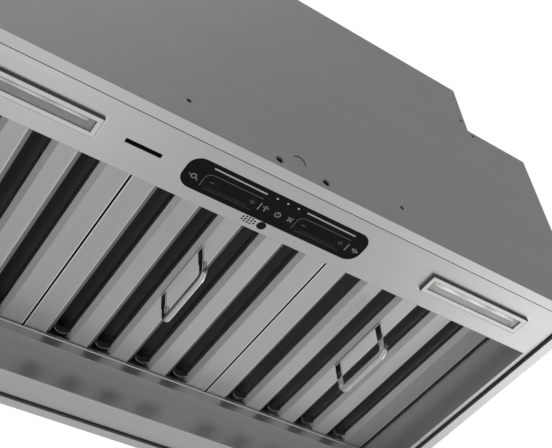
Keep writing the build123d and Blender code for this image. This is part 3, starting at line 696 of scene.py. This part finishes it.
def mouldedPlastic(name):
    look = moulding[name]
    finish = newFinish(name)
    skin = finish.noise(finish.place(), moulding["skinScale"], moulding["skinDetail"])
    cloud = finish.noise(finish.place(), moulding["cloudScale"])
    dark = tuple(part * moulding["darker"] for part in look["colour"])
    swing = moulding["glossSwing"]
    return finish.surface({
        "Base Color": finish.mixColour(cloud, dark + (1,), look["colour"] + (1,)),
        "Roughness": look["roughness"] - swing / 2 + swing * skin,
        "Normal": finish.bump(skin, moulding["relief"], moulding["reliefDepth"])})


# Lamp gaskets with painted shade: dark in front of each frame and left of it, paler in the joint
# behind

gasketLook = {
    "overlap": 0.3 * mm,       # how far the painted shade goes past the frame's edge
    "skinScale": 700,
    "skinDetail": 3.0,
    "pale": ((0.3, 0.38), (0.7, 0.44)),
    "dark": ((0.3, 0.060), (0.7, 0.075)),
    "roughness": 0.6,
    "glossSwing": 0.1,
}


def gasketRubber():
    look = gasketLook
    finish = newFinish("lampGasket")
    x, depth = finish.along("X"), finish.along("Y")
    leftLow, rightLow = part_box("left_lamp_bezel")[0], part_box("right_lamp_bezel")[0]
    endLine = leftLow.x + look["overlap"] + x.above(0.0) * (rightLow.x - leftLow.x)
    # painted shade on the front and left runs
    dark = depth.below(leftLow.y + look["overlap"]).most(x.below(endLine))
    skin = finish.noise(finish.place(), look["skinScale"], look["skinDetail"])
    colour = finish.mixColour(dark, finish.ramp(skin, look["pale"]),
                              finish.ramp(skin, look["dark"]))
    return finish.surface({
        "Base Color": colour, "Roughness": look["roughness"] + look["glossSwing"] * skin})


# Circuit boards

boardLook = {
    "scale": (120, 120, 120),
    "gap": 0.06,
    "fields": ((0.010, 0.075, 0.035, 1), (0.012, 0.090, 0.042, 1)),
    "tracks": (0.030, 0.160, 0.080, 1),
    "hazeScale": 300,
    "roughness": 0.28,
    "glossSwing": 0.14,
}


def circuitBoard():
    look = boardLook
    finish = newFinish("circuitBoard")
    first, second = look["fields"]
    colour = finish.add("ShaderNodeTexBrick", {"offset": 0.5}, {
        "Vector": finish.place(scale=look["scale"]), "Scale": 1.0, "Mortar Size": look["gap"],
        "Color1": first, "Color2": second, "Mortar": look["tracks"]})
    haze = finish.noise(finish.place(), look["hazeScale"])
    return finish.surface({
        "Base Color": colour, "Roughness": look["roughness"] + look["glossSwing"] * haze})


dress(mouldedPlastic("blackPlastic"), "control_tray", "speaker", "vent_insert",
      "terminal_block", "left_impeller", "right_impeller")
dress(mouldedPlastic("whitePlastic"), "lamp_driver", "motor_capacitors")
dress(mouldedPlastic("magnetFerrite"), "catch_magnets")
dress(circuitBoard(), "lamp_boards", "control_board", "power_board")
dress(gasketRubber(), "lamp_gaskets")
dress(speckled("sensorWindow"), "sensor_lens")
dress(speckled("controlGlass"), "control_glass")
dress(speckled("lampFrame"), "left_lamp_bezel", "right_lamp_bezel")
dress(speckled("lampLens"), "left_lamp_lens", "right_lamp_lens")
dress(speckled("motorCase"), "left_motor", "right_motor")
print("plastics and glass dressed")


# Printed marks and bar lights of the control glass, in millimetres from its middle

marks = {
    "thickness": 0.08,
    "lift": 0.02,              # below the glass's lower face
    "middleX": -0.6,           # of the layout, from the glass's middle
    "endRound": 0.48,          # of a stripe's width
    "endSteps": 4,
    "discSteps": 24,
    "arcStep": 15,             # degrees
    "speckScale": 1500,
    "speckSwing": (0.9, 1.08),
    "roughness": 0.5,
}


def markBar(shape, x0, y0, x1, y1, width):
    # a stripe with round ends between two points
    run = Vector((x1 - x0, y1 - y0))
    stripe = addGrid(shape, (run.length + width) / 2, width / 2)
    bmesh.ops.rotate(shape, verts=stripe, cent=(0, 0, 0),
                     matrix=Matrix.Rotation(run.angle_signed((1, 0)), 3, "Z"))
    bmesh.ops.translate(shape, verts=stripe, vec=((x0 + x1) / 2, (y0 + y1) / 2, 0))
    bmesh.ops.bevel(shape, geom=stripe, offset=width * marks["endRound"],
                    segments=marks["endSteps"], profile=0.5, affect="VERTICES", material=-1)


def markDisc(shape, x, y, radius):
    bmesh.ops.create_circle(shape, cap_ends=True, segments=marks["discSteps"], radius=radius,
                            matrix=Matrix.Translation((x, y, 0)))


def markArc(shape, x, y, radius, start, end, width):
    # a short edge swept round a centre
    inner, outer = radius - width / 2, radius + width / 2
    ends = [shape.verts.new((x + reach, y, 0)) for reach in (inner, outer)]
    edge = shape.edges.new(ends)
    bmesh.ops.rotate(shape, verts=ends, cent=(x, y, 0),
                     matrix=Matrix.Rotation(radians(start), 3, "Z"))
    sweep = end - start
    bmesh.ops.spin(shape, geom=ends + [edge], cent=(x, y, 0), axis=(0, 0, 1), dvec=(0, 0, 0),
                   angle=radians(sweep), steps=sweep // marks["arcStep"],
                   use_merge=sweep == 360)


def setOnGlass(shape):
    # flat marks in millimetres get their thickness and their place under the glass
    low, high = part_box("control_glass")
    middle = (low + high) / 2
    raised = bmesh.ops.extrude_face_region(shape, geom=shape.faces[:])["geom"]
    bmesh.ops.translate(shape, vec=(0, 0, marks["thickness"]),
                        verts=[part for part in raised if isinstance(part, bmesh.types.BMVert)])
    bmesh.ops.scale(shape, verts=shape.verts, vec=(mm, mm, mm))
    drop = (marks["thickness"] + marks["lift"]) * mm
    bmesh.ops.translate(shape, verts=shape.verts,
                        vec=(middle.x + marks["middleX"] * mm, middle.y, low.z - drop))
    return shape


def printFinish(name, level):
    finish = newFinish(name)
    speck = finish.noise(finish.place(), marks["speckScale"])
    less, more = marks["speckSwing"]
    return finish.surface({
        "Base Color": finish.ramp(speck, ((0.3, level * less), (0.7, level * more))),
        "Roughness": marks["roughness"]})


lights = {
    "level": 0.42,
    "bars": ((-87.0, -14.5, -22.6, -13.8), (30.3, -14.2, 94.7, -13.5)),   # end to end
    "barWidth": 1.8,
    "dotX": (-9.2, 4.4, 18.2),
    "dotY": -14.1,
    "dotRadius": 1.25,
}


def controlLights():
    shape = bmesh.new()
    for bar in lights["bars"]:
        markBar(shape, *bar, lights["barWidth"])
    for x in lights["dotX"]:
        markDisc(shape, x, lights["dotY"], lights["dotRadius"])
    addPiece("controlLights", setOnGlass(shape), printFinish("lightWindow", lights["level"]))


slides = {
    "level": 0.075,
    "starts": (-90.6, 26.2),
    "length": 68.5,
    "top": -6.2,
    "bottom": 12.6,
    "corner": 8.0,
    "line": 0.9,
    "signY": 3.1,
    "signLine": 1.0,
    "minus": (8, 12.5),        # both its ends, from the slide's start
    "plusAt": 60.4,
    "plusHalf": 3,
    "faintLevel": 0.026,
    "faintLines": ((5, 64.5, 1, 0.7), (9, 58.5, -2, 0.5)),   # ends, y from the bottom, width
}


def slideOutline(shape, start):
    line, corner, top = slides["line"], slides["corner"], slides["top"]
    markBar(shape, start, slides["bottom"], start, top + corner, line)
    markArc(shape, start + corner, top + corner, corner, 180, 270, line)
    markBar(shape, start + corner, top, start + slides["length"], top, line)


def controlSlides():
    shape = bmesh.new()
    y, line, half = slides["signY"], slides["signLine"], slides["plusHalf"]
    first, last = slides["minus"]
    for start in slides["starts"]:
        slideOutline(shape, start)
        plus = start + slides["plusAt"]
        markBar(shape, start + first, y, start + last, y, line)
        markBar(shape, plus - half, y, plus + half, y, line)
        markBar(shape, plus, y - half, plus, y + half, line)
    addPiece("controlSlides", setOnGlass(shape), printFinish("slidePrint", slides["level"]))


# the slide outlines are drawn faint along the bottom, brighter along the top and left
def controlSlideEdges():
    shape = bmesh.new()
    for start in slides["starts"]:
        for first, last, below, width in slides["faintLines"]:
            y = slides["bottom"] + below
            markBar(shape, start + first, y, start + last, y, width)
    addPiece("controlSlideEdges", setOnGlass(shape),
             printFinish("faintSlideLine", slides["faintLevel"]))


# Plain signs, none of which belongs to a maker; their y counts from one line

signs = {
    "level": 0.19,
    "lineY": 4.5,
    "stripe": {"at": 70.5, "low": -5.0, "high": 4.6, "width": 1.5},   # from a slide's start
    "lamp": {"x": -101.6, "radius": 2.7, "width": 1.5},
    "lampRays": ((-107.5, -0.6, -105.2, -0.2, 1.1), (-98.0, 1.6, -96.0, 3.4, 1.3)),
    "hood": ((-16.0, -1.8, -10.0, -1.8, 1.5), (-13.0, -4.0, -13.0, 3.0, 1.7)),
    "timer": {"x": 3.4, "radius": 3.2, "width": 1.3},
    "timerHand": ((3.4, 0, 3.4, -1.8, 0.8),),
    "fan": {"x": 18.9, "y": -1.0, "reach": 2.9, "hub": 0.35, "blades": 4, "width": 2.2},
    "filter": ((104.8, -0.8, 110.8, 0.8, 3.0), (107.8, -3.0, 107.8, 3.0, 1.2)),
}


def signBars(shape, bars):
    y = signs["lineY"]
    for x0, y0, x1, y1, width in bars:
        markBar(shape, x0, y + y0, x1, y + y1, width)


def signRing(shape, ring):
    markArc(shape, ring["x"], signs["lineY"], ring["radius"], 0, 360, ring["width"])


def fanBlades():
    fan = signs["fan"]
    for index in range(fan["blades"]):
        turn = 2 * pi * (index + 0.5) / fan["blades"]
        x, y = fan["reach"] * cos(turn), fan["reach"] * sin(turn)
        yield (fan["x"] + x * fan["hub"], fan["y"] + y * fan["hub"],
               fan["x"] + x, fan["y"] + y, fan["width"])


def controlIcons():
    shape = bmesh.new()
    stripe = signs["stripe"]
    for start in slides["starts"]:
        x = start + stripe["at"]
        signBars(shape, ((x, stripe["low"], x, stripe["high"], stripe["width"]),))
    signRing(shape, signs["lamp"])
    signBars(shape, signs["lampRays"])
    signBars(shape, signs["hood"])
    signRing(shape, signs["timer"])
    signBars(shape, signs["timerHand"])
    signBars(shape, fanBlades())
    signBars(shape, signs["filter"])
    addPiece("controlIcons", setOnGlass(shape), printFinish("iconPrint", signs["level"]))


controlLights()
controlSlides()
controlSlideEdges()
controlIcons()
print("control marks printed")


# Inside of the lamps: sloping tray and opal bar, in millimetres

lampParts = {
    "trayTop": 11.0,           # heights above the lip
    "trayBottom": 3.9,
    "trayTopHalf": (60.0, 3.6),
    "trayBottomHalf": (68.5, 8.4),
    # painted light: the right lamp's tray is painted brighter than the left's
    "trayLitLevel": {"left": 0.36, "right": 0.62},
    "trayDark": (0.84, 0.80, 0.75),
    "trayPale": (1.16, 1.13, 1.09),
    "trayStretch": (1, 4, 4),
    "trayScale": 60,
    "trayDetail": 3.0,
    "trayGloss": (0.42, 0.12),     # roughness and its swing
    "barRadius": 2.1,
    "barSteps": 24,
    "barHalf": 62.0,
    "barEnd": 1.2,
    "barEndSteps": 3,
    "barOffset": {"left": -2.3, "right": -1.3},
    "barHeight": 5.6,
    "diodePitch": 41.0,
    # the opal bars glow; painted light makes the right one glow brighter
    "glowAndSideLight": {"left": 0.06, "right": 0.32},
    "opalShares": (0.35, 0.3),     # of the wave along the diodes and of the haze
    "opalStops": ((0.1, 0.60), (0.9, 0.98)),
    "opalStretch": (1, 3, 3),
    "opalScale": 90,
    "opalGloss": (0.30, 0.1),
}


def trayPaint(level):
    finish = newFinish("lampTray")
    haze = finish.noise(finish.place(scale=lampParts["trayStretch"]), lampParts["trayScale"],
                        lampParts["trayDetail"])
    dark, pale = (tuple(level * part for part in lampParts[key]) + (1,)
                  for key in ("trayDark", "trayPale"))
    roughness, swing = lampParts["trayGloss"]
    return finish.surface({
        "Base Color": finish.mixColour(haze, dark, pale), "Roughness": roughness + swing * haze})


def opalPlastic(middle, glowAndSideLight):
    # brighter in front of each diode
    finish = newFinish("opalBar")
    turn = 2 * pi / (lampParts["diodePitch"] * mm)
    wave = ((finish.along("X") - middle.x) * turn).math("COSINE")
    haze = finish.noise(finish.place(scale=lampParts["opalStretch"]), lampParts["opalScale"])
    waveShare, hazeShare = lampParts["opalShares"]
    level = wave * waveShare + waveShare + hazeShare * haze
    colour = finish.ramp(level, lampParts["opalStops"])
    roughness, swing = lampParts["opalGloss"]
    return finish.surface({
        "Base Color": colour, "Roughness": roughness + swing * haze,
        "Emission Color": colour, "Emission Strength": glowAndSideLight})


def lampTray(name, middle):
    # two rectangles joined by sloping walls, open below
    shape = bmesh.new()
    rings = []
    for end in ("Top", "Bottom"):
        halfX, halfY = lampParts[f"tray{end}Half"]
        place = (middle.x, middle.y, lampParts[f"tray{end}"] * mm)
        rings.append(addGrid(shape, halfX * mm, halfY * mm, place))
    upper, lower = ([edge for edge in shape.edges if all(vert in ring for vert in edge.verts)]
                    for ring in rings)
    bmesh.ops.delete(shape, geom=lower[0].link_faces[:], context="FACES_ONLY")
    bmesh.ops.bridge_loops(shape, edges=upper + lower)
    addPiece(f"{name}LampTray", shape, trayPaint(lampParts["trayLitLevel"][name]))


def lampBar(name, middle):
    shape = bmesh.new()
    radius = lampParts["barRadius"] * mm
    rod = bmesh.ops.create_cone(shape, cap_ends=True, segments=lampParts["barSteps"],
                                radius1=radius, radius2=radius,
                                depth=2 * lampParts["barHalf"] * mm)["verts"]
    bmesh.ops.rotate(shape, verts=rod, cent=(0, 0, 0), matrix=Matrix.Rotation(pi / 2, 3, "Y"))
    rims = [edge for edge in shape.edges if any(len(face.verts) > 4 for face in edge.link_faces)]
    bmesh.ops.bevel(shape, geom=rims, offset=lampParts["barEnd"] * mm,
                    segments=lampParts["barEndSteps"], profile=0.5, affect="EDGES", material=-1)
    bmesh.ops.translate(shape, verts=shape.verts, vec=(
        middle.x, middle.y + lampParts["barOffset"][name] * mm, lampParts["barHeight"] * mm))
    addPiece(f"{name}LampBar", shape, opalPlastic(middle, lampParts["glowAndSideLight"][name]))


for side in ("left", "right"):
    middle = middleOf(f"{side}_lamp_lens")
    lampTray(side, middle)
    lampBar(side, middle)
print("lamps fitted")


# Rounded sheet ends that close the slots at the rear, in millimetres

slotEnds = {
    "radius": 13.0,
    "halfAngle": 56.0,         # degrees
    "steps": 14,
    "centreY": 149.0,
    "low": 68.2,
    "high": 79.0,
    "wall": 0.5,
    "offsets": (-86.25, -28.75, 28.75, 86.25),
    "grain": (6, 620, 620),
    # painted shade: the slot ends are painted dark
    "stops": ((0.3, 0.10), (0.7, 0.13)),
    # painted highlight along the lower rim
    "paintedRimHighlight": 0.5,
    "rimWidth": 0.9,
    "metallic": 0.8,
    "roughness": 0.4,
    "glossSwing": 0.1,
}


def slotEndSteel():
    finish = newFinish("slotEnd")
    fine = finish.noise(finish.place(scale=slotEnds["grain"]), brushing["scale"],
                        brushing["detail"])
    # painted highlight along the lower rim, over the painted shade
    rimHighlight = closeTo(finish.along("Z"), slotEnds["low"] * mm, slotEnds["rimWidth"] * mm)
    colour = finish.mixColour(rimHighlight, finish.ramp(fine, slotEnds["stops"]),
                              grey(slotEnds["paintedRimHighlight"]))
    return finish.surface({
        "Base Color": colour, "Metallic": slotEnds["metallic"],
        "Roughness": slotEnds["roughness"] + slotEnds["glossSwing"] * fine})


def bentEnd(shape, x):
    # an upright edge swept round part of a circle
    centre = Vector((x, slotEnds["centreY"] * mm, 0))
    half = radians(slotEnds["halfAngle"])
    ends = [shape.verts.new((x, centre.y + slotEnds["radius"] * mm, slotEnds[key] * mm))
            for key in ("low", "high")]
    edge = shape.edges.new(ends)
    bmesh.ops.rotate(shape, verts=ends, cent=centre, matrix=Matrix.Rotation(half, 3, "Z"))
    bmesh.ops.spin(shape, geom=ends + [edge], cent=centre, axis=(0, 0, 1), dvec=(0, 0, 0),
                   angle=-2 * half, steps=slotEnds["steps"], use_merge=False)


def closeSlots():
    finish = slotEndSteel()
    for side in ("left", "middle", "right"):
        shape = bmesh.new()
        middle = middleOf(f"{side}_filter_frame")
        for offset in slotEnds["offsets"]:
            bentEnd(shape, middle.x + offset * mm)
        bmesh.ops.solidify(shape, geom=shape.faces[:], thickness=slotEnds["wall"] * mm)
        addPiece(f"{side}SlotEnds", shape, finish, f"{side}_filter")


closeSlots()
print("slot ends closed")


# Blind rivets of the tower's foot, its lid and the duct collar, in millimetres

rivets = {
    "section": (               # radius and rise of each corner
        (0.9, 0), (0.9, 1.0), (1.5, 1.25), (2.5, 0.85), (3.1, 0.3), (3.1, 0)),
    "steps": 16,
    "sheet": 1.0,              # what they stand on
    "edgeInset": 6.0,
    "flangeInset": 18.0,       # of the row ends
    "flangePitch": 62.0,
    "lidInset": 12.0,
    "lidPitch": 78.0,
    "collarCount": 10,
    "collarInset": 7.5,
}


def rivetHead(shape, *place):
    # a closed section spun about the rivet's own line; the hole in the middle stays open
    known = set(shape.verts)
    corners = [shape.verts.new((reach * mm, 0, rise * mm)) for reach, rise in rivets["section"]]
    edges = [shape.edges.new(pair) for pair in zip(corners, corners[1:] + corners[:1])]
    bmesh.ops.spin(shape, geom=corners + edges, cent=(0, 0, 0), axis=(0, 0, 1), dvec=(0, 0, 0),
                   angle=2 * pi, steps=rivets["steps"], use_merge=True)
    bmesh.ops.translate(shape, verts=[vert for vert in shape.verts if vert not in known],
                        vec=place)


def spread(first, last, pitch):
    # evenly between two ends, about a pitch apart
    count = max(1, round((last - first) / (pitch * mm)))
    return [first + (last - first) * index / count for index in range(count + 1)]


def towerRivets():
    shape = bmesh.new()
    inset, ends = rivets["edgeInset"] * mm, rivets["flangeInset"] * mm
    low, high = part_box("tower_wrap")
    top = low.z + rivets["sheet"] * mm
    for y in spread(low.y + ends, high.y - inset, rivets["flangePitch"]):
        for x in (low.x + inset, high.x - inset):
            rivetHead(shape, x, y, top)
    for x in spread(low.x + ends, high.x - ends, rivets["flangePitch"]):
        rivetHead(shape, x, high.y - inset, top)
    addPiece("towerFlangeRivets", shape, bright)


def lidRivets():
    shape = bmesh.new()
    inset, ends = rivets["edgeInset"] * mm, rivets["lidInset"] * mm
    low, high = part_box("tower_lid")
    for x in spread(low.x + ends, high.x - ends, rivets["lidPitch"]):
        for y in (low.y + inset, high.y - inset):
            rivetHead(shape, x, y, high.z)
    addPiece("towerLidRivets", shape, bright)


def collarRivets():
    # a circle of them through the collar's foot
    shape = bmesh.new()
    low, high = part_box("duct_collar")
    centre = (low + high) / 2
    circle = (high.x - low.x) / 2 - rivets["collarInset"] * mm
    top = low.z + rivets["sheet"] * mm
    for index in range(rivets["collarCount"]):
        turn = 2 * pi * (index + 0.5) / rivets["collarCount"]
        rivetHead(shape, centre.x + circle * cos(turn), centre.y + circle * sin(turn), top)
    addPiece("collarRivets", shape, bright)


towerRivets()
lidRivets()
collarRivets()
print("rivets set")

bpy.context.scene.view_settings.view_transform = "Standard"
